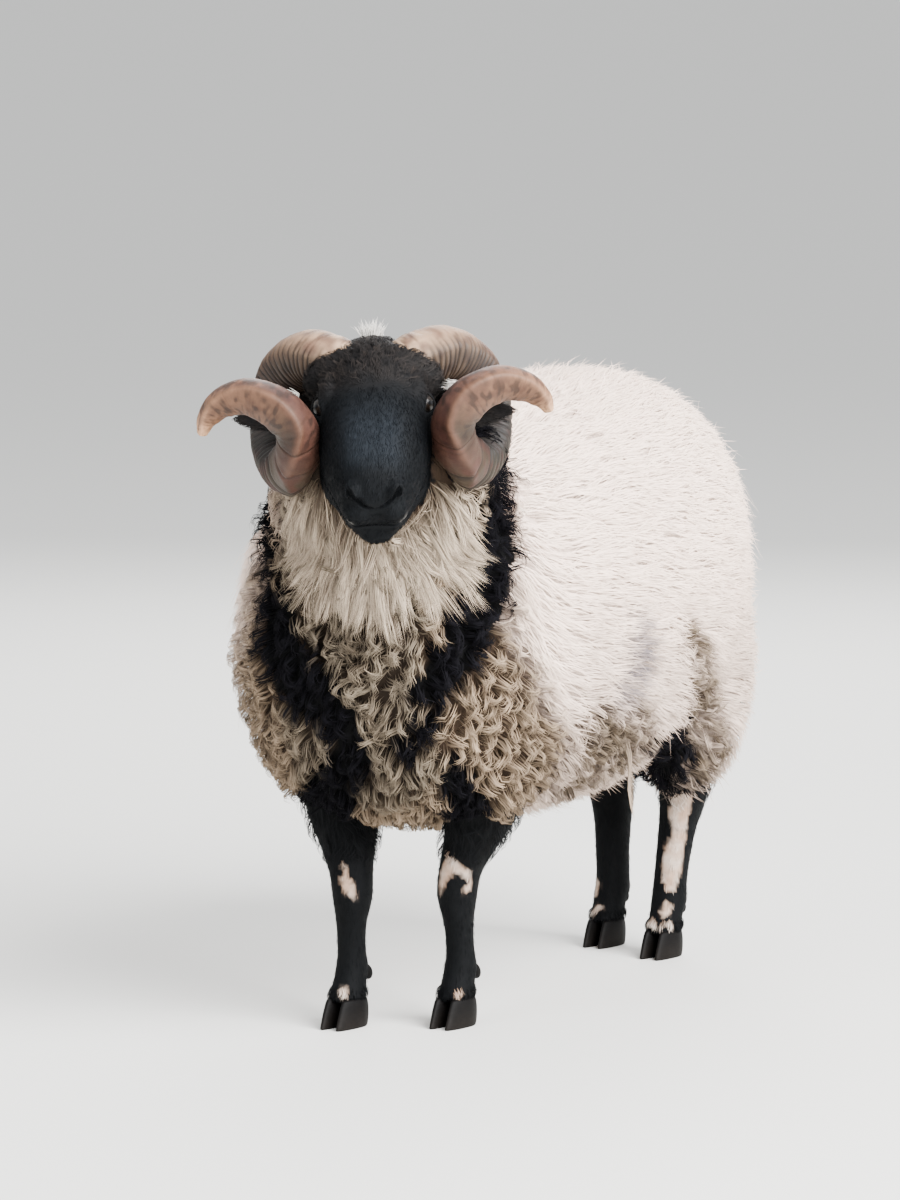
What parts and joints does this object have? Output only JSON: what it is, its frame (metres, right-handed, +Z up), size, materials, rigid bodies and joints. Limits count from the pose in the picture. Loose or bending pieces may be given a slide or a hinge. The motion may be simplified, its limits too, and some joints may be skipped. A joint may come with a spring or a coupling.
{
  "type": "blackface ram figure",
  "caption": "Life-size standing ram with a long cream and black fleece, black face, curled ridged horns and black legs.",
  "frame": {"origin": "on the floor, at the centre of the base of the whole figure's box", "axes": "+Z up, -Y the way the body faces, +X the ram's own left side"},
  "size_m": [0.4918, 1.0946, 0.8204],
  "materials": {
    "cream_wool": "dull fleece",
    "black_hair": "short dull hair",
    "horn": "satin, ridged",
    "hoof": "satin",
    "eye": "wet gloss"
  },
  "bodies": {
    "root": {"torso": "cream_wool", "neck": "cream_wool", "tail": "cream_wool", "scrotum": "cream_wool", "head": "black_hair", "eye_left": "eye", "ear_left": "black_hair", "horn_left": "horn", "eye_right": "eye", "ear_right": "black_hair", "horn_right": "horn", "leg_front_left": "black_hair", "hoof_front_left_outer": "hoof", "dewclaw_front_left_outer": "hoof", "hoof_front_left_inner": "hoof", "dewclaw_front_left_inner": "hoof", "leg_front_right": "black_hair", "hoof_front_right_outer": "hoof", "dewclaw_front_right_outer": "hoof", "hoof_front_right_inner": "hoof", "dewclaw_front_right_inner": "hoof", "leg_hind_left": "black_hair", "hoof_hind_left_outer": "hoof", "dewclaw_hind_left_outer": "hoof", "hoof_hind_left_inner": "hoof", "dewclaw_hind_left_inner": "hoof", "leg_hind_right": "black_hair", "hoof_hind_right_outer": "hoof", "dewclaw_hind_right_outer": "hoof", "hoof_hind_right_inner": "hoof", "dewclaw_hind_right_inner": "hoof"}
  },
  "joints": []
}
